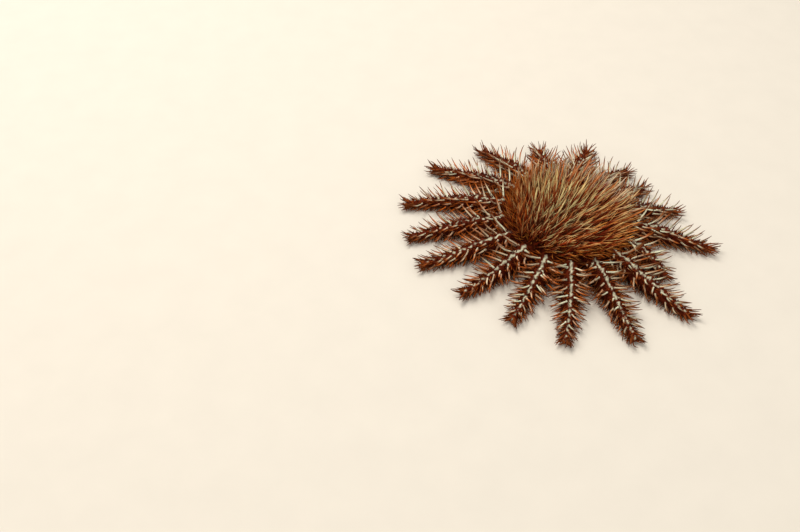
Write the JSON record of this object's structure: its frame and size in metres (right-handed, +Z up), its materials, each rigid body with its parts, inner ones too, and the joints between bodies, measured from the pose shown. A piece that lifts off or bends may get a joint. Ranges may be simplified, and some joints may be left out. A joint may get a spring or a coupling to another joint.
{
  "type": "crown of thorns starfish",
  "caption": "Life-size still model of a crown of thorns starfish: a low disc with many tapering arms, covered in long sharp spines, lying flat with its arms spread and bent a little.",
  "frame": {"origin": "on the floor, under the middle of the whole outline; the middle of the disc is about 10 mm to the right of it and 17 mm behind it", "axes": "+Z up out of the animal's back; +X to the right and +Y away in the picture's view; the animal is thinnest along Z"},
  "size_m": [0.3112, 0.283, 0.0591],
  "materials": {
    "spiny_skin": "rough, bristly living skin, rust-brown with paler ridges"
  },
  "bodies": {
    "root": {"disc": "spiny_skin", "arm_01": "spiny_skin", "arm_02": "spiny_skin", "arm_03": "spiny_skin", "arm_04": "spiny_skin", "arm_05": "spiny_skin", "arm_06": "spiny_skin", "arm_07": "spiny_skin", "arm_08": "spiny_skin", "arm_09": "spiny_skin", "arm_10": "spiny_skin", "arm_11": "spiny_skin", "arm_12": "spiny_skin", "arm_13": "spiny_skin", "arm_14": "spiny_skin", "arm_15": "spiny_skin", "arm_16": "spiny_skin", "arm_17": "spiny_skin"}
  },
  "joints": []
}
